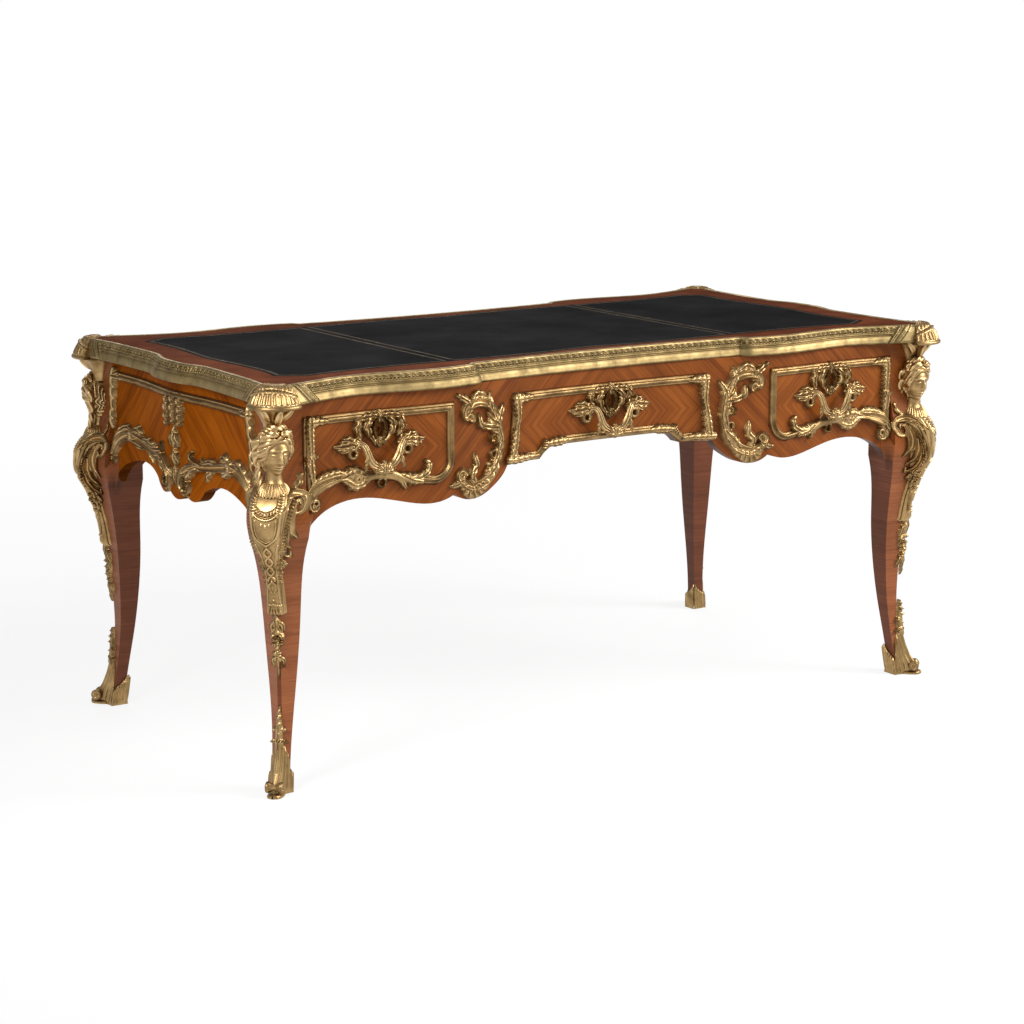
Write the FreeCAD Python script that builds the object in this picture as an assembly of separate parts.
import FreeCAD
import Part

import math
import os

# A bureau plat: a flat writing desk on four cabriole legs, veneered, with cast gilt mounts.
# Millimetres, Z up, the front faces -Y. The origin is on the floor, at the middle of the desk.

Vector = FreeCAD.Vector
ORIGIN = Vector(0, 0, 0)
X_AXIS = Vector(1, 0, 0)
Y_AXIS = Vector(0, 1, 0)
Z_AXIS = Vector(0, 0, 1)

# Overall sizes
HEIGHT = 780.0             # floor to the writing surface
CARCASE_LENGTH = 1570.0    # over the leg posts, left to right
CARCASE_DEPTH = 750.0      # over the leg posts, front to back

# Top: board, leather and cast rim
BOARD_THICK = 36.0
RIM_WIDTH = 20.0           # how far the rim stands out from the board's edge
CENTRE_EDGE = 328.0        # half depth of the board at the middle of the front
CENTRE_BREAK_EDGE = 345.0  # half depth of the board's middle run at the break
SIDE_BREAK_EDGE = 359.0    # half depth of the board's side run at the break
BREAK_X = 334.0            # where the front edge steps
SWELL_EDGE = 371.0
SWELL_X = 425.0
WAIST_EDGE = 354.0
WAIST_X = 580.0
END_BOW_EDGE = 801.0       # half length of the board at the middle of the end
END_BREAK_EDGE = 797.0
END_SIDE_EDGE = 787.0
END_BREAK_Y = 70.0
END_WAIST_EDGE = 781.0
END_WAIST_Y = 145.0
NOSE_X = 782.0             # centre of the rounded corner of the top
NOSE_Y = 386.0
NOSE_RADIUS = 16.0
FRONT_FLARE = 18.0         # degrees that the front edge flares out at the corner
END_FLARE = 11.0
LEATHER_THICK = 1.5
LEATHER_GAP = 0.4
LEATHER_SEAM_X = 345.0
LEATHER_END = 730.0
LEATHER_FRONT = 289.0
LEATHER_SWELL = 12.0       # the leather's front edge comes forward by this at the seams
LEATHER_EAR = 58.0         # its corner is cut off this far from the end
LEATHER_EAR_RISE = 25.0
LEATHER_WAIST = 13.0       # its end is drawn in by this
LEATHER_WAIST_Y = 175.0
RIM_PROUD = 1.5            # rim above the writing surface
RIM_FILLET = 3.5           # flat fillet along the rim's inner edge
RIM_BAND_OUT = 12.5        # the cast band ends this far out
RIM_BAND_DROP = 12.0       # and this far down
RIM_QUIRK = 14.0           # the groove below the band
SHELL_RADIUS = 56.0
SHELL_RIBS = 9
SHELL_SPREAD = 150.0       # degrees
SHELL_ROOT = 10.0          # the ribs start this far inside the nose
SHELL_ROOT_RADIUS = 4.0
SHELL_RIB_RADIUS = 7.5

# Carcase
POST_WIDTH = 63.0          # leg post, inside the frieze
FRIEZE_THICK = 24.0
TOP_RAIL_HEIGHT = 29.0
CENTRE_RECESS = 33.0       # the middle of the front lies this far behind the posts
CENTRE_SWEEP = 19.0        # and this far at the edge of the middle drawer
WAIST_RECESS = 6.0
END_BOW = 11.0             # the middle of the end panel stands this far out of the posts
END_DIP = 1.0
CENTRE_HALF = 253.0        # half width of the middle opening, at its foot
CENTRE_TAPER = 12.0        # it is narrower by this at its top
STILE_WIDTH = 135.0
SIDE_DROP = 158.0          # side opening, from its top to its lowest point
CENTRE_DROP = 139.0
CENTRE_ARCH_DROP = 115.0
CENTRE_FOOT = 80.0         # flat foot at each side of the middle opening
CENTRE_HAUNCH = 42.0       # run of the rounded rise from the foot to the arch
SIDE_ROUND = 48.0          # rounded lower corner of a side opening
SIDE_WAVE = 26.0           # rise of the wave in the lower edge of a side opening
SIDE_TAIL = 8.0            # that edge ends this far below its lowest level, at the leg
APRON_LOBE_DROP = 197.0    # from the opening's top to the lowest lobe of the front
APRON_ARCH_DROP = 168.0
CUSP_RISE = 15.0           # cusp between the side apron and the stile's lobe
ARCH_FOOT_DROP = 227.0     # where the aprons spring from the legs
END_LOBE_DROP = 209.0
END_ARCH_DROP = 163.0
END_LOBE_Y = 64.0
PARTITION_THICK = 14.0
PARTITION_SETBACK = 1.0    # partition face behind the edge of its opening
STRIP_SETBACK = 2.0        # runners and kickers start behind the drawer front
RUNNER_WIDTH = 26.0
RUNNER_HEIGHT = 15.0
KICKER_GAP = 3.0

# Drawers
DRAWER_GAP = 1.0           # between a drawer front and its opening
DRAWER_FRONT_THICK = 22.0
DRAWER_DEPTH = 500.0
DRAWER_SIDE_THICK = 11.0
DRAWER_SIDE_HEIGHT = 98.0
DRAWER_SIDE_GAP = 5.0      # drawer side to the edge of its opening
DRAWER_BACK_DROP = 10.0    # the drawer's back is lower than its sides
DRAWER_BOTTOM_THICK = 7.0
DRAWER_BOTTOM_RAISE = 4.0
RUNNER_GAP = 0.3
RUNNER_DROP = 115.0        # from the opening's top to the top of the runners

# Lock
LOCK_WIDTH = 52.0
LOCK_HEIGHT = 44.0
LOCK_DEPTH = 11.0
BOLT_WIDTH = 17.0
BOLT_DEPTH = 6.0
BOLT_LENGTH = 22.0
BOLT_TRAVEL = 8.0
LOCK_CLEAR = 0.3
LOCK_RECESS = 8.0          # depth of the case in the back of the drawer front
BOLT_SETBACK = 4.0         # middle of the bolt in front of that back
MORTISE_CLEAR = 1.0
KEYHOLE_DROP = 38.0
KEYHOLE_RADIUS = 3.4
KEYHOLE_SLOT = 2.6
KEYHOLE_SLOT_LENGTH = 11.0

# Cast mounts
FRAME_WIDTH = 13.0
FRAME_THICK = 4.5
FRAME_RIB_INSET = 3.5
FRAME_RIB_THICK = 8.0
FRAME_INSET = 1.5          # frame to the edge of the drawer front
MOUNT_THICK = 7.0
HANDLE_STAND = 23.0        # face of the drawer to the middle of the bail
HANDLE_RADIUS = 5.0
HANDLE_DROP = 81.0         # from the opening's top to the middle of the pull
CENTRE_HANDLE_DROP = 67.0
CLASP_RADIUS = 8.5
BAIL_TOP = 44.0            # half span of the bail at its ends
BAIL_BEND = 16.0
BAIL_NECK_RUN = 14.0
LEAF_REACH = 51.0
LEAF_THICK = 7.0
POST_RADIUS = 5.5
ESCUTCHEON_WIDTH = 104.0
ESCUTCHEON_HEIGHT = 58.0

# Legs, sabots and corner mounts
KNEE_OUT = 23.0            # the knee stands this far out of the post
KNEE_DROP = 222.0          # below the underside of the top
ANKLE_IN = 10.0
ANKLE_HEIGHT = 160.0
FOOT_OUT = 4.0
LEG_THICK_CALF = 44.0
LEG_THICK_ANKLE = 32.0
LEG_THICK_FOOT = 27.0
LEG_CHAMFER = 8.0          # width of the flat down the leg's outer corner
SABOT_WALL = 4.0
SABOT_FLOOR = 6.0
SABOT_HEIGHT = 112.0
SABOT_BACK_HEIGHT = 54.0
TOE_RADIUS = 12.0
TOE_LENGTH = 26.0
FINIAL_HEIGHT = 165.0
HEAD_RADIUS = 27.0
HEAD_HALF_HEIGHT = 45.0
HEAD_DROP = 74.0           # underside of the top to the middle of the head
HERM_WIDTH = 66.0
VOLUTE_THICK = 8.0
VOLUTE_RADIUS = 17.0
CAPITAL_GAP = 1.0
PENDANT_TOP_DROP = 392.0
PENDANT_LENGTH = 124.0

# Levels and places that follow from the sizes above
LX = CARCASE_LENGTH / 2
LY = CARCASE_DEPTH / 2
UNDERSIDE = HEIGHT - BOARD_THICK
OPENING_TOP = UNDERSIDE - TOP_RAIL_HEIGHT
POST_X = LX - POST_WIDTH
POST_Y = LY - POST_WIDTH
STILE_X = CENTRE_HALF + STILE_WIDTH
SIDE_WIDTH = POST_X - STILE_X
SIDE_MIDDLE = STILE_X + SIDE_WIDTH / 2
RUNNER_TOP = OPENING_TOP - RUNNER_DROP
LOBE_Z = OPENING_TOP - APRON_LOBE_DROP
ARCH_Z = OPENING_TOP - APRON_ARCH_DROP
ARCH_FOOT_Z = OPENING_TOP - ARCH_FOOT_DROP
CENTRE_FOOT_Z = OPENING_TOP - CENTRE_DROP
CENTRE_ARCH_Z = OPENING_TOP - CENTRE_ARCH_DROP
KNEE_Z = UNDERSIDE - KNEE_DROP
DRAWER_BACK_PLANE = LY - CENTRE_RECESS - DRAWER_FRONT_THICK
SIDE_BACK_PLANE = LY - WAIST_RECESS - DRAWER_FRONT_THICK


class Outline:
    """A flat outline drawn edge by edge, placed later in the front, end or plan view."""

    def __init__(self, u, v):
        self.start = (u, v)
        self.end = (u, v)
        self.strokes = []

    def line(self, u, v):
        self.strokes.append(("line", [self.end, (u, v)]))
        self.end = (u, v)
        return self

    def arc(self, middle, end):
        self.strokes.append(("arc", [self.end, middle, end]))
        self.end = end
        return self

    def curve(self, *points):
        self.strokes.append(("curve", [self.end, *points]))
        self.end = points[-1]
        return self

    def close(self):
        if math.dist(self.start, self.end) > 1e-6:
            self.line(*self.start)
        return self

    def wire(self, place):
        edges = []
        for kind, points in self.strokes:
            at = [place(u, v) for u, v in points]
            if kind == "line":
                edges.append(Part.makeLine(at[0], at[1]))
            elif kind == "arc":
                edges.append(Part.Arc(*at).toShape())
            else:
                edges.append(spline(at))
        return Part.Wire(edges)

    def face(self, place):
        return Part.Face(self.wire(place))

    def doubled(self):
        """Completes an outline that was drawn on one side of the axis u = 0."""
        for kind, points in list(reversed(self.strokes)):
            self.strokes.append((kind, [(-u, v) for u, v in reversed(points)]))
        self.end = self.start
        return self

    def moved(self, du, dv):
        copy = Outline(self.start[0] + du, self.start[1] + dv)
        copy.end = (self.end[0] + du, self.end[1] + dv)
        copy.strokes = [(kind, [(u + du, v + dv) for u, v in points]) for kind, points in self.strokes]
        return copy


def spline(points, first=None, last=None):
    curve = Part.BSplineCurve()
    if first is None:
        curve.interpolate(points)
    else:
        curve.interpolate(Points=points, InitialTangent=first, FinalTangent=last)
    return curve.toShape()


def in_front(u, v):
    return Vector(u, 0, v)


def in_end(u, v):
    return Vector(0, u, v)


def in_plan(u, v):
    return Vector(u, v, 0)


def mirrored_x(shape):
    return shape.mirror(ORIGIN, X_AXIS)


def mirrored_y(shape):
    return shape.mirror(ORIGIN, Y_AXIS)


def biggest(shape):
    return max(shape.Solids, key=lambda solid: solid.Volume)


def box(x0, x1, y0, y1, z0, z1):
    return Part.makeBox(x1 - x0, y1 - y0, z1 - z0, Vector(x0, y0, z0))


def save(node, *shapes):
    """Writes one node. Several shapes stay separate solids."""
    solids = [solid for shape in shapes for solid in shape.Solids]
    whole = solids[0] if len(solids) == 1 else Part.makeCompound(solids)
    bad = [solid for solid in solids if not solid.isValid() or solid.Volume <= 0]
    if bad:
        print("check", node, "has", len(bad), "bad solids")
    whole.exportStep(os.path.join("parts", node + ".step"))
    print(f"{node}: {len(solids)} solids, {sum(solid.Volume for solid in solids) / 1000:.1f} cm3")


# Carcase faces: the front is a serpentine in plan, the ends are bowed

def front_depths():
    return [
        (0, LY - CENTRE_RECESS),
        (CENTRE_HALF, LY - CENTRE_SWEEP),
        (STILE_X + 12, LY),
        (SIDE_MIDDLE, LY - WAIST_RECESS),
        (POST_X, LY),
        (LX + 40, LY),
    ]


def front_curve(proud):
    half = front_depths()
    left = [Vector(-x, -depth - proud, 0) for x, depth in reversed(half[1:])]
    right = [Vector(x, -depth - proud, 0) for x, depth in half]
    return spline(left + right)


def front_depth_at(x):
    """Half depth of the bare front face at x."""
    line = Part.makeLine(Vector(x, -2 * LY, 0), Vector(x, 0, 0))
    return -front_curve(0).distToShape(line)[1][0][0].y


def front_layer(inner, outer):
    """The space between two depths in front of the front face, as high as the desk."""
    near = front_curve(outer)
    far = front_curve(inner)
    sides = [Part.makeLine(a.Point, b.Point) for a, b in zip(near.Vertexes, far.Vertexes)]
    return Part.Face(Part.Wire(Part.sortEdges([near, far, *sides])[0])).extrude(Vector(0, 0, HEIGHT))


def front_block(back_plane):
    """The space from the front face back to a flat plane."""
    near = front_curve(0)
    ends = [vertex.Point for vertex in near.Vertexes]
    corners = [Vector(point.x, -back_plane, 0) for point in ends]
    edges = [
        near,
        Part.makeLine(ends[0], corners[0]),
        Part.makeLine(corners[0], corners[1]),
        Part.makeLine(corners[1], ends[1]),
    ]
    return Part.Face(Part.Wire(Part.sortEdges(edges)[0])).extrude(Vector(0, 0, HEIGHT))


def front_prism(face):
    return face.extrude(Vector(0, -2 * LY, 0))


def front_piece(outline, inner, outer):
    return biggest(front_prism(outline.face(in_front)).common(front_layer(inner, outer)))


def end_curve(proud):
    half = [(0, LX + END_BOW), (END_WAIST_Y, LX - END_DIP), (POST_Y, LX), (LY + 40, LX)]
    lower = [Vector(x + proud, -y, 0) for y, x in reversed(half[1:])]
    upper = [Vector(x + proud, y, 0) for y, x in half]
    return spline(lower + upper)


def end_layer(inner, outer):
    near = end_curve(outer)
    far = end_curve(inner)
    sides = [Part.makeLine(a.Point, b.Point) for a, b in zip(near.Vertexes, far.Vertexes)]
    return Part.Face(Part.Wire(Part.sortEdges([near, far, *sides])[0])).extrude(Vector(0, 0, HEIGHT))


def end_piece(outline, inner, outer):
    prism = outline.face(in_end).extrude(Vector(2 * LX, 0, 0))
    return biggest(prism.common(end_layer(inner, outer)))


# Top

def nose_point(angle, radius):
    turn = math.radians(angle)
    return (NOSE_X + radius * math.cos(turn), NOSE_Y + radius * math.sin(turn))


def top_runs():
    """The board's edge in the quarter where x and the depth are positive, as separate runs."""
    start = 90 + FRONT_FLARE
    stop = -END_FLARE
    front_end = nose_point(start, NOSE_RADIUS)
    end_start = nose_point(stop, NOSE_RADIUS)
    lean = math.radians(FRONT_FLARE)
    lean_end = math.radians(END_FLARE)
    front_places = ((BREAK_X, SIDE_BREAK_EDGE), (SWELL_X, SWELL_EDGE), (WAIST_X, WAIST_EDGE), front_end)
    front = spline(
        [in_plan(*place) for place in front_places],
        Vector(90, 22, 0),
        Vector(150 * math.cos(lean), 150 * math.sin(lean), 0),
    )
    nose_middle = nose_point((start + stop) / 2, NOSE_RADIUS)
    nose = Part.Arc(in_plan(*front_end), in_plan(*nose_middle), in_plan(*end_start)).toShape()
    end_places = (end_start, (END_WAIST_EDGE, END_WAIST_Y), (END_SIDE_EDGE, END_BREAK_Y))
    end = spline(
        [in_plan(*place) for place in end_places],
        Vector(-120 * math.sin(lean_end), -120 * math.cos(lean_end), 0),
        Vector(30, -75, 0),
    )
    return front, nose, end


def centre_run():
    return spline([
        Vector(-BREAK_X, CENTRE_BREAK_EDGE, 0),
        Vector(0, CENTRE_EDGE, 0),
        Vector(BREAK_X, CENTRE_BREAK_EDGE, 0),
    ])


def end_centre_run():
    return spline([
        Vector(END_BREAK_EDGE, -END_BREAK_Y, 0),
        Vector(END_BOW_EDGE, 0, 0),
        Vector(END_BREAK_EDGE, END_BREAK_Y, 0),
    ])


def board_outline():
    quarter = list(top_runs())
    quarter.append(Part.makeLine(in_plan(BREAK_X, SIDE_BREAK_EDGE), in_plan(BREAK_X, CENTRE_BREAK_EDGE)))
    end_step = in_plan(END_SIDE_EDGE, END_BREAK_Y)
    quarter.append(Part.makeLine(end_step, in_plan(END_BREAK_EDGE, END_BREAK_Y)))
    half = quarter + [mirrored_x(edge) for edge in quarter] + [centre_run()]
    edges = half + [mirrored_y(edge) for edge in half]
    edges += [end_centre_run(), mirrored_x(end_centre_run())]
    return Part.Wire(Part.sortEdges(edges)[0])


def leather_outline():
    """Half of the leather's edge, from the middle of the front to the middle of the end."""
    corner_x = LEATHER_END - LEATHER_EAR
    corner_y = LEATHER_FRONT + LEATHER_EAR_RISE
    front = [
        (0, LEATHER_FRONT),
        (LEATHER_SEAM_X, LEATHER_FRONT + LEATHER_SWELL),
        (corner_x - 2 * LEATHER_EAR, LEATHER_FRONT + 0.9 * LEATHER_SWELL),
        (corner_x, corner_y),
    ]
    end = [
        (LEATHER_END - 0.2 * LEATHER_WAIST, corner_y - 0.6 * LEATHER_EAR),
        (LEATHER_END - LEATHER_WAIST, LEATHER_WAIST_Y),
        (LEATHER_END - 0.5 * LEATHER_WAIST, 0.45 * LEATHER_WAIST_Y),
        (LEATHER_END, 0),
    ]
    quarter = [
        spline([in_plan(*point) for point in front]),
        Part.makeLine(in_plan(*front[-1]), in_plan(*end[0])),
        spline([in_plan(*point) for point in end]),
    ]
    half = quarter + [mirrored_x(edge) for edge in quarter]
    edges = half + [mirrored_y(edge) for edge in half]
    return Part.Face(Part.Wire(Part.sortEdges(edges)[0]))


def make_top():
    board = Part.Face(board_outline()).extrude(Vector(0, 0, BOARD_THICK))
    board.translate(Vector(0, 0, UNDERSIDE))
    recess = leather_outline().extrude(Vector(0, 0, LEATHER_THICK))
    recess.translate(Vector(0, 0, HEIGHT - LEATHER_THICK))
    save("top_board", board.cut(recess))
    panels = []
    for x0, x1 in ((-LX, -LEATHER_SEAM_X), (-LEATHER_SEAM_X, LEATHER_SEAM_X), (LEATHER_SEAM_X, LX)):
        window = box(x0 + LEATHER_GAP / 2, x1 - LEATHER_GAP / 2, -LY, LY, 0, HEIGHT)
        panels.append(recess.common(window))
    save("leather_panels", *panels)


def rim_section():
    """The rim's moulding: (out from the board, down from the writing surface)."""
    foot = 0.75 * BOARD_THICK
    section = Outline(0, RIM_PROUD)
    section.line(RIM_FILLET, RIM_PROUD).line(RIM_FILLET + 1, -1)
    section.arc((0.76 * RIM_BAND_OUT, -0.42 * RIM_BAND_DROP), (RIM_BAND_OUT, -RIM_BAND_DROP))
    section.line(RIM_QUIRK, -RIM_BAND_DROP - 0.5).line(RIM_QUIRK, -RIM_BAND_DROP - 3)
    section.arc((RIM_QUIRK + 0.5, 6 - foot), (RIM_WIDTH - 1.5, -foot)).line(RIM_WIDTH, -foot - 1)
    section.line(RIM_WIDTH, -BOARD_THICK).line(0, -BOARD_THICK)
    return section.close()


def rim_along(run, away_from):
    """Sweeps the rim's moulding along one run of the board's edge."""
    path = run.copy()
    path.translate(Vector(0, 0, HEIGHT))
    start = path.valueAt(path.FirstParameter)
    tangent = path.tangentAt(path.FirstParameter)
    out = Vector(tangent.y, -tangent.x, 0)
    if out.dot(start - away_from) < 0:
        out = out.multiply(-1)
    section = rim_section().wire(lambda u, v: start + out * u + Z_AXIS * v)
    sweep = Part.BRepOffsetAPI.MakePipeShell(Part.Wire(path))
    sweep.setBiNormalMode(Z_AXIS)
    sweep.add(section)
    sweep.build()
    sweep.makeSolid()
    return Part.Solid(sweep.shape())


def shell_fan():
    """The fluted fan on a corner, drawn with its hinge at the nose of the top and spread outwards."""
    middle = (90 + FRONT_FLARE - END_FLARE) / 2
    step = SHELL_SPREAD / SHELL_RIBS
    fan = None
    for rib in range(SHELL_RIBS):
        angle = middle - SHELL_SPREAD / 2 + (rib + 0.5) * step
        tip = Vector(*nose_point(angle, 0.62 * SHELL_RADIUS), UNDERSIDE + 0.25 * BOARD_THICK)
        root = Vector(*nose_point(angle, -SHELL_ROOT), HEIGHT - 2 * RIM_PROUD)
        along = tip - root
        flute = Part.makeCone(SHELL_ROOT_RADIUS, SHELL_RIB_RADIUS, along.Length, root, along)
        fan = flute if fan is None else fan.fuse(flute)
    return fan


def make_rim():
    front, nose, end = top_runs()
    inside = Vector(0, 0, HEIGHT)
    front_right = mirrored_y(rim_along(front, inside))
    front_centre = mirrored_y(rim_along(centre_run(), inside))
    end_front = mirrored_y(rim_along(end, inside))
    end_centre = rim_along(end_centre_run(), inside)
    front_runs = [mirrored_x(front_right), front_centre, front_right]
    right_runs = [end_front, end_centre, mirrored_y(end_front)]
    save("rim_front", *front_runs)
    save("rim_back", *[mirrored_y(run) for run in front_runs])
    save("rim_right", *right_runs)
    save("rim_left", *[mirrored_x(run) for run in right_runs])
    board = Part.Face(board_outline()).extrude(Vector(0, 0, BOARD_THICK))
    board.translate(Vector(0, 0, UNDERSIDE))
    corner = rim_along(nose, Vector(NOSE_X, NOSE_Y, HEIGHT))
    shell = corner.fuse(shell_fan())
    runs = [mirrored_y(front_right), mirrored_y(end_front)]
    shell = biggest(shell.cut([board, *runs]))
    back = [shell, mirrored_x(shell)]
    save("corner_shells", *back, *[mirrored_y(one) for one in back])


# Frieze: rails, stiles, panels

def trace_side_apron(outline):
    """Lower edge under a side drawer, drawn from the leg post to the cusp by the stile."""
    outline.curve(
        (POST_X - 14, ARCH_FOOT_Z + 18),
        (POST_X - 43, ARCH_FOOT_Z + 41),
        (POST_X - 85, ARCH_Z - 3),
        (POST_X - 0.4 * SIDE_WIDTH, ARCH_Z),
        (STILE_X + 0.31 * SIDE_WIDTH, LOBE_Z + 10),
        (STILE_X + 0.17 * SIDE_WIDTH, LOBE_Z + 3),
        (STILE_X, LOBE_Z + CUSP_RISE),
    )


def trace_stile_foot(outline):
    """The lobe under a stile, from the cusp to the foot of the middle opening."""
    outline.curve(
        (STILE_X - 19, LOBE_Z + 4),
        (STILE_X - 43, LOBE_Z),
        (STILE_X - 68, LOBE_Z + 4),
        (CENTRE_HALF + 37, LOBE_Z + 19),
        (CENTRE_HALF + 11, LOBE_Z + 40),
        (CENTRE_HALF, CENTRE_FOOT_Z),
    )


def trace_centre_arch(outline, inset):
    """The lower edge of the middle drawer, from its foot to the middle."""
    arch_x = CENTRE_HALF - CENTRE_FOOT
    foot = CENTRE_FOOT_Z + inset
    rise = CENTRE_ARCH_Z - CENTRE_FOOT_Z
    outline.line(arch_x, foot)
    outline.curve(
        (arch_x - 0.36 * CENTRE_HAUNCH, foot + 0.58 * rise),
        (arch_x - 0.7 * CENTRE_HAUNCH, foot + 0.9 * rise),
        (arch_x - CENTRE_HAUNCH, foot + rise),
    )
    outline.line(0, foot + rise)


def side_opening(inset):
    """Outline of a side opening on the right, drawn in by an inset."""
    left = STILE_X + inset
    right = POST_X - inset
    top = OPENING_TOP - inset
    low = OPENING_TOP - SIDE_DROP + inset
    radius = SIDE_ROUND - inset
    bend = radius * (1 - math.sqrt(0.5))
    outline = Outline(left, top)
    outline.line(left, low + radius).arc((left + bend, low + bend), (left + radius, low))
    outline.curve(
        (STILE_X + 0.36 * SIDE_WIDTH, low + 0.5 * SIDE_WAVE),
        (STILE_X + 0.62 * SIDE_WIDTH, low + SIDE_WAVE),
        (STILE_X + 0.84 * SIDE_WIDTH, low + 0.77 * SIDE_WAVE),
        (right, low - SIDE_TAIL),
    )
    return outline.line(right, top).close()


def centre_opening(inset, foot_inset):
    outline = Outline(0, OPENING_TOP - inset)
    outline.line(CENTRE_HALF - CENTRE_TAPER - inset, OPENING_TOP - inset)
    outline.line(CENTRE_HALF - inset, CENTRE_FOOT_Z + foot_inset)
    trace_centre_arch(outline, foot_inset)
    return outline.doubled()


def make_top_rail():
    outline = Outline(-POST_X, OPENING_TOP).line(POST_X, OPENING_TOP)
    outline.line(POST_X, UNDERSIDE).line(-POST_X, UNDERSIDE).close()
    return front_piece(outline, -FRIEZE_THICK, 0).cut([bolt_mortise(*place) for place in drawer_places()])


def make_stile():
    outline = Outline(CENTRE_HALF - CENTRE_TAPER, OPENING_TOP).line(STILE_X, OPENING_TOP)
    outline.line(STILE_X, LOBE_Z + CUSP_RISE)
    trace_stile_foot(outline)
    return front_piece(outline.close(), -FRIEZE_THICK, 0)


def make_lower_rail():
    over_wave = OPENING_TOP - SIDE_DROP + 1.3 * SIDE_WAVE
    outline = Outline(STILE_X, over_wave).line(POST_X, over_wave)
    outline.line(POST_X, ARCH_FOOT_Z)
    trace_side_apron(outline)
    rail = front_piece(outline.close(), -FRIEZE_THICK, 0)
    return biggest(rail.cut(front_prism(side_opening(0).face(in_front))))


def make_back_panel():
    outline = Outline(0, UNDERSIDE).line(POST_X, UNDERSIDE).line(POST_X, ARCH_FOOT_Z)
    trace_side_apron(outline)
    trace_stile_foot(outline)
    trace_centre_arch(outline, 0)
    return mirrored_y(front_piece(outline.doubled(), -FRIEZE_THICK, 0))


def make_end_panel():
    lobe = OPENING_TOP - END_LOBE_DROP
    arch = OPENING_TOP - END_ARCH_DROP
    outline = Outline(0, UNDERSIDE).line(POST_Y, UNDERSIDE).line(POST_Y, ARCH_FOOT_Z)
    outline.curve(
        (POST_Y - 14, ARCH_FOOT_Z + 18),
        (POST_Y - 43, ARCH_FOOT_Z + 41),
        (POST_Y - 77, arch - 10),
        (POST_Y - 122, arch),
        (END_LOBE_Y + 70, arch - 4),
        (END_LOBE_Y + 38, lobe + 28),
    )
    outline.curve((END_LOBE_Y, lobe + 4), (END_LOBE_Y - 28, lobe + 13))
    outline.curve((0.5 * END_LOBE_Y - 14, lobe + 3), (0, lobe))
    return end_piece(outline.doubled(), -FRIEZE_THICK, 0)


# Legs: each is cut from the square with the same cabriole outline on both faces

def leg_outer_points():
    return [
        (0.6 * KNEE_OUT, KNEE_Z + 58),
        (KNEE_OUT, KNEE_Z),
        (0.55 * KNEE_OUT, KNEE_Z - 60),
        (0.04 * KNEE_OUT, KNEE_Z - 132),
        (-0.8 * ANKLE_IN, ANKLE_HEIGHT + 100),
        (-ANKLE_IN, ANKLE_HEIGHT),
        (-0.4 * ANKLE_IN, 0.44 * ANKLE_HEIGHT),
        (FOOT_OUT, SABOT_FLOOR),
    ]


def leg_outline():
    """Cabriole outline: u is how far out of the post's outer face, v is the height."""
    calf = LEG_THICK_CALF + 0.8 * ANKLE_IN
    outline = Outline(-POST_WIDTH, UNDERSIDE).line(0, UNDERSIDE).line(0, KNEE_Z + 128)
    outline.curve(*leg_outer_points())
    outline.line(FOOT_OUT - LEG_THICK_FOOT, SABOT_FLOOR)
    outline.curve(
        (-LEG_THICK_FOOT - 0.4 * ANKLE_IN, 0.5 * ANKLE_HEIGHT),
        (-LEG_THICK_ANKLE - ANKLE_IN, ANKLE_HEIGHT),
        (-calf, ANKLE_HEIGHT + 100),
        (-calf - 4, KNEE_Z - 172),
        (-calf - 5, KNEE_Z - 92),
        (-POST_WIDTH, ARCH_FOOT_Z),
    )
    return outline.close()


def leg_crossing(front_outline, end_outline):
    """The solid that shows one outline from the front and the other from the end, at the front right."""
    front = front_outline.face(lambda u, v: Vector(LX + u, -2 * LY, v)).extrude(Vector(0, 2 * LY, 0))
    end = end_outline.face(lambda u, v: Vector(0, -LY - u, v)).extrude(Vector(2 * LX, 0, 0))
    return biggest(front.common(end))


def chamfered(leg):
    """Takes the sharp edge off the leg's outer corner, from the top to the foot."""
    depth = LEG_CHAMFER / 2
    edge = [(math.sqrt(2) * u - depth, v) for u, v in leg_outer_points()]
    kept = Outline(-3 * POST_WIDTH, UNDERSIDE).line(-depth, UNDERSIDE).line(-depth, KNEE_Z + 128)
    kept.curve(*edge)
    kept.line(-3 * POST_WIDTH, SABOT_FLOOR).close()
    block = kept.face(lambda u, v: Vector(u, -2 * POST_WIDTH, v)).extrude(Vector(0, 4 * POST_WIDTH, 0))
    return biggest(leg.common(on_corner(block)))


def leg_out(height):
    """How far the leg's outer edge stands out of the post at a height."""
    edge = spline([Vector(0, 0, KNEE_Z + 128)] + [Vector(u, 0, v) for u, v in leg_outer_points()])
    level = Part.makeLine(Vector(-2 * POST_WIDTH, 0, height), Vector(2 * POST_WIDTH, 0, height))
    return edge.distToShape(level)[1][0][0].x


def on_corner(shape):
    """Turns a shape drawn with +X outwards to face out of the front right corner."""
    turned = shape.copy()
    turned.rotate(ORIGIN, Z_AXIS, -45)
    turned.translate(Vector(LX, -LY, 0))
    return turned


def across_corner(shape):
    """Mirrors a shape from the front face of the corner to its end face."""
    return shape.mirror(Vector(LX, -LY, 0), Vector(1, 1, 0))


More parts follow.
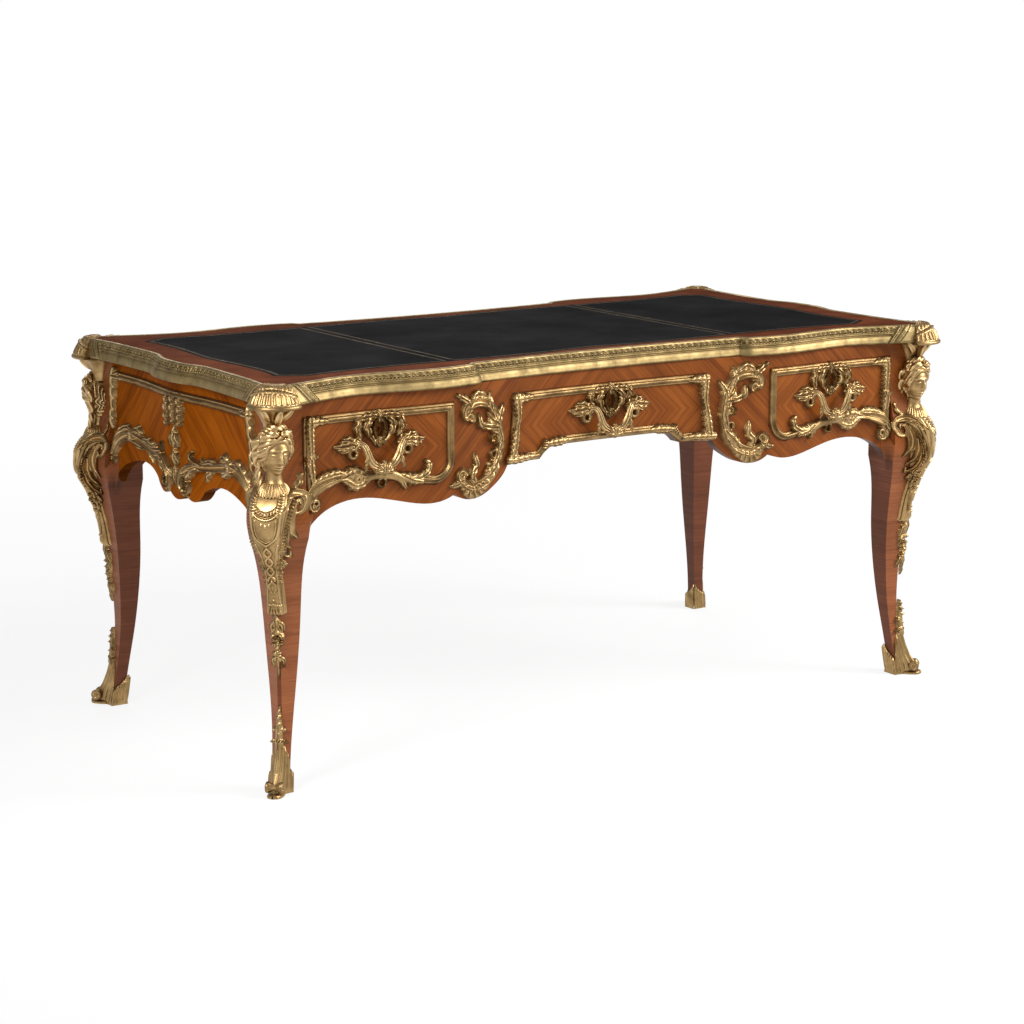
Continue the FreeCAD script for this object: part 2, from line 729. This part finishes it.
def make_sabot(leg):
    outer = Outline(FOOT_OUT + SABOT_WALL, 0)
    outer.curve(
        (SABOT_WALL - 0.4 * ANKLE_IN, 0.44 * ANKLE_HEIGHT),
        (SABOT_WALL - 0.75 * ANKLE_IN, SABOT_HEIGHT),
    )
    inner = FOOT_OUT - LEG_THICK_FOOT - SABOT_WALL
    outer.curve((0.45 * inner, 0.78 * SABOT_HEIGHT), (0.68 * inner, 0.66 * SABOT_HEIGHT))
    outer.curve((0.94 * inner, 0.62 * SABOT_HEIGHT), (inner - 0.6 * ANKLE_IN, SABOT_BACK_HEIGHT))
    outer.line(inner, 0).close()
    cup = leg_crossing(outer, outer)
    half = TOE_LENGTH / 2
    nose = FOOT_OUT * math.sqrt(2)
    toe = nose + TOE_RADIUS + 8
    high = 6.5 * TOE_RADIUS
    instep = Outline(nose - 20, 0).line(toe, 0)
    instep.curve((toe - 6, TOE_RADIUS), (nose + 4, 3 * TOE_RADIUS), (nose - 4, high))
    instep.line(nose - 20, high).close()
    ramp = instep.face(lambda u, v: Vector(u, -0.4 * half, v)).extrude(Vector(0, 0.8 * half, 0))
    roll = Part.makeCylinder(TOE_RADIUS, TOE_LENGTH, Vector(toe, -half, TOE_RADIUS), Y_AXIS)
    low = 0.88 * SABOT_HEIGHT
    foot = Vector(math.sqrt(2) * leg_out(low), 0, low)
    tip = Vector(math.sqrt(2) * leg_out(FINIAL_HEIGHT), 0, FINIAL_HEIGHT)
    finial = Part.makeCone(0.7 * TOE_RADIUS, 2, (tip - foot).Length, foot, tip - foot)
    whole = cup.fuse([on_corner(ramp), on_corner(roll), on_corner(finial)])
    return biggest(whole.cut(leg))


def herm_section(height, half_width, thick):
    """One level of the tapering body, wrapped round the leg's corner."""
    edge = math.sqrt(2) * leg_out(height)
    outline = Outline(edge - 30, half_width).line(edge + 0.3 * thick, half_width)
    outline.line(edge + thick, 0.5 * half_width).line(edge + thick, -0.5 * half_width)
    outline.line(edge + 0.3 * thick, -half_width).line(edge - 30, -half_width).close()
    return outline.wire(lambda u, v: Vector(u, v, height))


def make_espagnolette(leg):
    """Bust on a tapering body: head, ruff and herm on the corner, leaf volutes on both faces."""
    head_z = UNDERSIDE - HEAD_DROP
    neck_z = head_z - HEAD_HALF_HEIGHT
    ruff_z = neck_z - 28
    out = 0.6 * HEAD_RADIUS
    crown_z = head_z + 0.8 * HEAD_HALF_HEIGHT
    profile = Outline(0, -HEAD_HALF_HEIGHT)
    profile.curve(
        (0.66 * HEAD_RADIUS, -0.8 * HEAD_HALF_HEIGHT),
        (HEAD_RADIUS, -0.1 * HEAD_HALF_HEIGHT),
        (0.92 * HEAD_RADIUS, 0.5 * HEAD_HALF_HEIGHT),
        (0, HEAD_HALF_HEIGHT),
    )
    half_head = profile.close().face(lambda u, v: Vector(out + u, 0, head_z + v))
    head = half_head.revolve(Vector(out, 0, 0), Z_AXIS, 360)
    hair = Part.makeSphere(1.12 * HEAD_RADIUS, Vector(0.25 * out, 0, head_z + 0.35 * HEAD_HALF_HEIGHT))
    crown = Vector(0.2 * out, 0, crown_z)
    capital_height = UNDERSIDE - CAPITAL_GAP - crown_z
    capital = Part.makeCone(0.6 * HEAD_RADIUS, 0.95 * HEAD_RADIUS, capital_height, crown)
    neck = Part.makeCone(0.66 * HEAD_RADIUS, 0.55 * HEAD_RADIUS, 40, Vector(out - 2, 0, ruff_z))
    ruff = Part.makeCone(0.58 * HERM_WIDTH, 0.4 * HERM_WIDTH, 14, Vector(out - 4, 0, ruff_z - 6))
    herm = Part.makeLoft([
        herm_section(ruff_z - 2, 0.52 * HERM_WIDTH, 26),
        herm_section(ruff_z - 40, 0.55 * HERM_WIDTH, 26),
        herm_section(KNEE_Z - 20, 0.45 * HERM_WIDTH, 20),
        herm_section(KNEE_Z - 70, 0.34 * HERM_WIDTH, 16),
        herm_section(KNEE_Z - 120, 0.26 * HERM_WIDTH, 13),
        herm_section(UNDERSIDE - PENDANT_TOP_DROP, 0.2 * HERM_WIDTH, 9),
    ], True)
    bust = on_corner(head.fuse([hair, capital, neck, ruff, herm]))
    leaf = Outline(-8, ruff_z + 14)
    leaf.curve(
        (-8 - VOLUTE_RADIUS, ruff_z + 12),
        (-12 - 2 * VOLUTE_RADIUS, ruff_z - 18),
        (-10 - 2 * VOLUTE_RADIUS, KNEE_Z + 12),
        (-2 * VOLUTE_RADIUS, KNEE_Z - 36),
        (-1.1 * VOLUTE_RADIUS, KNEE_Z - 86),
        (-0.8 * VOLUTE_RADIUS, KNEE_Z - 130),
        (-4, UNDERSIDE - PENDANT_TOP_DROP + 12),
    )
    leaf.line(KNEE_OUT, KNEE_Z - 100).line(KNEE_OUT, ruff_z + 14).close()
    skin = Outline(-VOLUTE_RADIUS, KNEE_Z + 128).line(VOLUTE_THICK, KNEE_Z + 128)
    skin.curve(*[(u + VOLUTE_THICK, v) for u, v in leg_outer_points()[:5]])
    skin.line(-2 * VOLUTE_RADIUS, ANKLE_HEIGHT + 100).close()
    volute = leg_crossing(leaf, skin)
    whole = bust.fuse([volute, across_corner(volute)])
    return biggest(whole.cut(leg))


def make_pendant(leg):
    """Three husks down the corner, below the espagnolette."""
    top = UNDERSIDE - PENDANT_TOP_DROP - CAPITAL_GAP
    drops = []
    for share, radius in ((0.0, 10.0), (0.32, 11.0), (0.62, 8.0)):
        high = top - share * PENDANT_LENGTH
        low = high - 0.38 * PENDANT_LENGTH
        start = Vector(math.sqrt(2) * leg_out(high), 0, high)
        stop = Vector(math.sqrt(2) * leg_out(low), 0, low)
        drops.append(Part.makeCone(radius, 3, (stop - start).Length, start, stop - start))
    chain = drops[0].fuse(drops[1:])
    return biggest(on_corner(chain).cut(leg))


# Inside the carcase

def drawer_places():
    """Middle of each drawer along X, with the plane of the back of its front."""
    return [(-SIDE_MIDDLE, SIDE_BACK_PLANE), (0, DRAWER_BACK_PLANE), (SIDE_MIDDLE, SIDE_BACK_PLANE)]


def bolt_box(x, back_plane, clear, low, high):
    y = -back_plane - BOLT_SETBACK
    half_width = BOLT_WIDTH / 2 + clear
    half_depth = BOLT_DEPTH / 2 + clear
    return box(x - half_width, x + half_width, y - half_depth, y + half_depth, low, high)


def bolt_mortise(x, back_plane):
    high = OPENING_TOP + BOLT_TRAVEL + MORTISE_CLEAR
    return bolt_box(x, back_plane, MORTISE_CLEAR, OPENING_TOP - 1, high)


def make_partitions(stile, back_panel, top_rail):
    low = RUNNER_TOP - RUNNER_HEIGHT
    pieces = []
    inner = CENTRE_HALF + PARTITION_SETBACK
    outer = STILE_X - PARTITION_SETBACK
    for x0 in (inner, outer - PARTITION_THICK):
        middle = front_depth_at(x0 + PARTITION_THICK / 2) - FRIEZE_THICK / 2
        board = box(x0, x0 + PARTITION_THICK, -middle, middle, low, UNDERSIDE)
        pieces.append(biggest(board.cut([stile, back_panel, top_rail])))
    return pieces + [mirrored_x(piece) for piece in pieces]


def make_strips(low, high, back_panel):
    """Straight strips beside each drawer: runners under its sides or kickers over them."""
    inner = CENTRE_HALF + PARTITION_SETBACK
    outer = STILE_X - PARTITION_SETBACK
    spans = [
        (inner - RUNNER_WIDTH, inner, DRAWER_BACK_PLANE),
        (outer, outer + RUNNER_WIDTH, SIDE_BACK_PLANE),
        (POST_X - RUNNER_WIDTH, POST_X, SIDE_BACK_PLANE),
    ]
    strips = []
    for x0, x1, plane in spans:
        strip = box(x0, x1, STRIP_SETBACK - plane, front_depth_at(x0) - FRIEZE_THICK / 2, low, high)
        strips.append(biggest(strip.cut(back_panel)))
    return strips + [mirrored_x(strip) for strip in strips]


# Drawers

def keyhole(x):
    z = OPENING_TOP - KEYHOLE_DROP
    eye = Part.makeCylinder(KEYHOLE_RADIUS, 2 * LY, Vector(x, -2 * LY, z), Y_AXIS)
    half = KEYHOLE_SLOT / 2
    slot = box(x - half, x + half, -2 * LY, 0, z - KEYHOLE_SLOT_LENGTH, z)
    return eye.fuse(slot)


def make_frame(face_at):
    """A cast moulding round a drawer: a flat band with a raised rib along its middle."""
    edge = DRAWER_GAP + FRAME_INSET
    rib_width = FRAME_WIDTH - 2 * FRAME_RIB_INSET
    rings = []
    band = (edge, FRAME_WIDTH, FRAME_THICK)
    rib = (edge + FRAME_RIB_INSET, rib_width, FRAME_RIB_THICK)
    for inset, width, thick in (band, rib):
        ring = face_at(inset).cut(face_at(inset + width)).Faces[0]
        rings.append(front_prism(ring).common(front_layer(0, thick)))
    return biggest(rings[0].fuse(rings[1]))


def escutcheon_outline(x):
    half = ESCUTCHEON_WIDTH / 2
    drop = ESCUTCHEON_HEIGHT
    outline = Outline(0, 0)
    outline.curve((0.5 * half, 1), (0.85 * half, -0.02 * drop), (half, -0.12 * drop))
    outline.curve((0.86 * half, -0.42 * drop), (0.6 * half, -0.3 * drop))
    outline.curve((0.42 * half, -0.5 * drop), (0.4 * half, -0.74 * drop), (0, -drop))
    return outline.doubled().moved(x, OPENING_TOP - DRAWER_GAP - FRAME_INSET - 1)


def make_escutcheon(x):
    """Key plate with leaf wings, set into the top bar of the frame."""
    return front_piece(escutcheon_outline(x), 0, MOUNT_THICK).cut(keyhole(x))


def bar(start, stop):
    return Part.makeCylinder(HANDLE_RADIUS, (stop - start).Length, start, stop - start)


def bent_bar(start, along, centre, turn):
    """A quarter bend of the bail, turned about an axis square to the drawer."""
    section = Part.Face(Part.Wire(Part.makeCircle(HANDLE_RADIUS, start, along)))
    return section.revolve(centre, Y_AXIS, turn)


def make_handle(x, height):
    """Fixed pull: a bail on two posts, each post on a leaf plate, with a clasp at the bail's foot."""
    face = front_depth_at(x)
    y = -face - HANDLE_STAND
    high = height + BAIL_BEND + 2
    neck = high - BAIL_BEND
    foot = neck - BAIL_NECK_RUN
    low = foot - BAIL_BEND
    neck_u = BAIL_TOP - BAIL_BEND
    foot_u = neck_u - BAIL_BEND
    clasp = Part.makeSphere(CLASP_RADIUS, Vector(x, y, low))
    clasp.rotate(Vector(x, y, low), Z_AXIS, 90)
    pieces = [clasp]
    for side in (-1, 1):
        def at(u, v, side=side):
            return Vector(x + side * u, y, v)
        pieces.append(bent_bar(at(BAIL_TOP, high), X_AXIS, at(BAIL_TOP, neck), -90 * side))
        pieces.append(bar(at(neck_u, neck), at(neck_u, foot)))
        pieces.append(bent_bar(at(neck_u, foot), Z_AXIS, at(foot_u, foot), 90 * side))
        pieces.append(bar(at(foot_u, low), at(0, low)))
        leaf = Outline(BAIL_TOP - 8, high - 8)
        leaf.curve(
            (BAIL_TOP + 0.4 * LEAF_REACH, high - 8),
            (BAIL_TOP + 0.8 * LEAF_REACH, high),
            (BAIL_TOP + LEAF_REACH, high + 13),
        )
        leaf.curve(
            (BAIL_TOP + 0.7 * LEAF_REACH, high + 17),
            (BAIL_TOP + 0.3 * LEAF_REACH, high + 13),
            (BAIL_TOP - 6, high + 9),
        )
        prism = leaf.close().face(lambda u, v: Vector(x + side * u, 0, v)).extrude(Vector(0, -2 * LY, 0))
        pieces.append(prism.common(front_layer(0, LEAF_THICK)))
        reach = HANDLE_STAND + HANDLE_RADIUS
        post_foot = Vector(x + side * BAIL_TOP, -face - reach, high)
        pieces.append(Part.makeCylinder(POST_RADIUS, reach + LEAF_THICK, post_foot, Y_AXIS))
    whole = pieces[0].fuse(pieces[1:])
    return biggest(whole.cut(front_block(0)))


def make_lock(x, back_plane):
    top = OPENING_TOP - DRAWER_GAP
    half = LOCK_WIDTH / 2
    front = -back_plane - LOCK_RECESS
    case = box(x - half, x + half, front, front + LOCK_DEPTH, top - LOCK_HEIGHT, top)
    slot = bolt_box(x, back_plane, LOCK_CLEAR, top - BOLT_LENGTH - 2 * LOCK_CLEAR, top + 1)
    return case, case.cut([slot, keyhole(x)])


def make_bolt(x, back_plane):
    top = OPENING_TOP - DRAWER_GAP - LOCK_CLEAR
    return bolt_box(x, back_plane, 0, top - BOLT_LENGTH, top)


def make_drawer_box(x0, x1, back_plane):
    """Two sides and a back, with the bottom let in between them."""
    low = RUNNER_TOP + RUNNER_GAP
    high = low + DRAWER_SIDE_HEIGHT
    front = -back_plane
    rear = front + DRAWER_DEPTH
    thick = DRAWER_SIDE_THICK
    left = box(x0, x0 + thick, front, rear, low, high)
    right = box(x1 - thick, x1, front, rear, low, high)
    bottom_low = low + DRAWER_BOTTOM_RAISE
    bottom_high = bottom_low + DRAWER_BOTTOM_THICK
    back = box(x0 + thick, x1 - thick, rear - thick, rear, bottom_low, high - DRAWER_BACK_DROP)
    bottom = box(x0 + thick, x1 - thick, front, rear - thick, bottom_low, bottom_high)
    return [left, right, back], bottom


def side_face(inset, side):
    face = side_opening(inset).face(in_front)
    return face if side > 0 else mirrored_x(face)


def centre_face(inset):
    return centre_opening(inset, inset - DRAWER_GAP).face(in_front)


def left_face(inset):
    return side_face(inset, -1)


def right_face(inset):
    return side_face(inset, 1)


def drawers():
    """Name, middle, plane behind the front, outline, box span and handle height of each drawer."""
    inner = STILE_X + DRAWER_SIDE_GAP
    outer = POST_X - DRAWER_SIDE_GAP
    half = CENTRE_HALF - CENTRE_TAPER - DRAWER_SIDE_GAP
    side_z = OPENING_TOP - HANDLE_DROP
    centre_z = OPENING_TOP - CENTRE_HANDLE_DROP
    return [
        ("left", -SIDE_MIDDLE, SIDE_BACK_PLANE, left_face, (-outer, -inner), side_z),
        ("centre", 0, DRAWER_BACK_PLANE, centre_face, (-half, half), centre_z),
        ("right", SIDE_MIDDLE, SIDE_BACK_PLANE, right_face, (inner, outer), side_z),
    ]


def make_drawer_mounts(x, face_at, handle_z):
    escutcheon = make_escutcheon(x)
    opening = front_prism(escutcheon_outline(x).face(in_front))
    frame = biggest(make_frame(face_at).cut(opening))
    return frame, make_handle(x, handle_z), escutcheon


def make_drawers():
    for name, x, back_plane, face_at, span, handle_z in drawers():
        front = biggest(front_prism(face_at(DRAWER_GAP)).common(front_block(back_plane)))
        case, lock = make_lock(x, back_plane)
        frame, handle, escutcheon = make_drawer_mounts(x, face_at, handle_z)
        sides, bottom = make_drawer_box(*span, back_plane)
        save(f"drawer_{name}_front", front.cut([case, keyhole(x)]))
        save(f"drawer_{name}_box", *sides)
        save(f"drawer_{name}_bottom", bottom)
        save(f"drawer_{name}_frame", frame)
        save(f"drawer_{name}_handle", handle)
        save(f"drawer_{name}_escutcheon", escutcheon)
        save(f"drawer_{name}_lock", lock)
        save(f"lock_bolt_{name}", make_bolt(x, back_plane))


# Cast mounts on the frieze and the ends

def make_c_scroll():
    """The C scroll on the right stile, open towards the side drawer."""
    outline = Outline(36, -46)
    back = ((-22, -6), (-46, -52), (-50, -112), (-36, -158), (-8, -184), (32, -193))
    inside = ((28, -172), (-4, -156), (-27, -116), (-29, -66), (-10, -26), (14, -12))
    outline.curve((53, -26), (45, 2), (14, 12), *back)
    outline.curve((58, -186), (77, -166))
    outline.curve((60, -164), *inside, (26, -26), (22, -44))
    return front_piece(outline.close().moved(STILE_X - STILE_WIDTH / 2, OPENING_TOP), 0, MOUNT_THICK)


def make_end_mounts():
    """Mouldings, apron scrolls and the drop of flowers on the right end."""
    bar_low = OPENING_TOP - 8
    bar_high = OPENING_TOP + 7
    reach = POST_Y - 7
    bar = Outline(-reach, bar_low).line(reach, bar_low)
    bar.line(reach, bar_high).line(-reach, bar_high).close()
    upright = Outline(reach - 4, bar_low).line(reach - 24, bar_low)
    upright.curve((reach - 19, bar_low - 50), (reach - 26, OPENING_TOP - 105))
    upright.line(reach - 6, OPENING_TOP - 107)
    upright.curve((reach - 1, bar_low - 50), (reach - 4, bar_low)).close()
    scroll = Outline(reach + 6, OPENING_TOP - 156)
    scroll.curve((reach - 36, OPENING_TOP - 138), (212, OPENING_TOP - 104), (165, OPENING_TOP - 113))
    scroll.curve((110, OPENING_TOP - 150), (62, OPENING_TOP - 178), (40, OPENING_TOP - 180))
    scroll.line(40, OPENING_TOP - 194)
    scroll.curve((75, OPENING_TOP - 192), (120, OPENING_TOP - 168), (165, OPENING_TOP - 140))
    scroll.curve((188, OPENING_TOP - 131), (206, OPENING_TOP - 127))
    scroll.curve((250, OPENING_TOP - 154), (reach, OPENING_TOP - 182)).close()
    drop = Outline(0, bar_low - 1)
    drop.line(22, bar_low - 1).curve((24, bar_low - 28), (12, bar_low - 52), (6, bar_low - 66))
    drop.curve((16, bar_low - 106), (6, bar_low - 132), (10, bar_low - 160), (0, bar_low - 188)).doubled()
    uprights = [end_piece(upright, 0, MOUNT_THICK)]
    uprights.append(mirrored_y(uprights[0]))
    scrolls = [end_piece(scroll, 0, MOUNT_THICK)]
    scrolls.append(mirrored_y(scrolls[0]))
    return [end_piece(bar, 0, MOUNT_THICK), *uprights], scrolls, end_piece(drop, 0, MOUNT_THICK)


def make_carcase():
    top_rail = make_top_rail()
    stile = make_stile()
    lower_rail = make_lower_rail()
    back_panel = make_back_panel()
    end_panel = make_end_panel()
    save("front_top_rail", top_rail)
    save("front_stiles", mirrored_x(stile), stile)
    save("front_lower_rails", mirrored_x(lower_rail), lower_rail)
    save("back_panel", back_panel)
    save("end_panel_left", mirrored_x(end_panel))
    save("end_panel_right", end_panel)
    save("drawer_partitions", *make_partitions(stile, back_panel, top_rail))
    save("drawer_runners", *make_strips(RUNNER_TOP - RUNNER_HEIGHT, RUNNER_TOP, back_panel))
    kicker_low = RUNNER_TOP + RUNNER_GAP + DRAWER_SIDE_HEIGHT + KICKER_GAP
    save("drawer_kickers", *make_strips(kicker_low, UNDERSIDE, back_panel))


def make_legs():
    leg = chamfered(leg_crossing(leg_outline(), leg_outline()))
    pieces = {"leg": leg, "sabot": make_sabot(leg), "espagnolette": make_espagnolette(leg)}
    for node, shape in pieces.items():
        save(f"{node}_front_right", shape)
        save(f"{node}_front_left", mirrored_x(shape))
        save(f"{node}_back_right", mirrored_y(shape))
        save(f"{node}_back_left", mirrored_x(mirrored_y(shape)))
    pendant = make_pendant(leg)
    front = [mirrored_x(pendant), pendant]
    save("leg_pendants", *front, *[mirrored_y(one) for one in front])


def make_frieze_mounts():
    scroll = make_c_scroll()
    front = [mirrored_x(scroll), scroll]
    save("frieze_c_scrolls", *front, *[mirrored_y(one) for one in front])
    mouldings, scrolls, drop = make_end_mounts()
    for node, shapes in (("mouldings", mouldings), ("apron_scrolls", scrolls), ("flower_drops", [drop])):
        save(f"end_{node}", *[mirrored_x(shape) for shape in shapes], *shapes)
    sham = [make_drawer_mounts(x, face_at, handle_z) for _, x, _, face_at, _, handle_z in drawers()]
    for index, node in enumerate(("frames", "handles", "escutcheons")):
        save(f"back_sham_{node}", *[mirrored_y(mounts[index]) for mounts in sham])


if __name__ == "__main__":
    os.makedirs("parts", exist_ok=True)
    make_top()
    make_rim()
    make_carcase()
    make_legs()
    make_drawers()
    make_frieze_mounts()
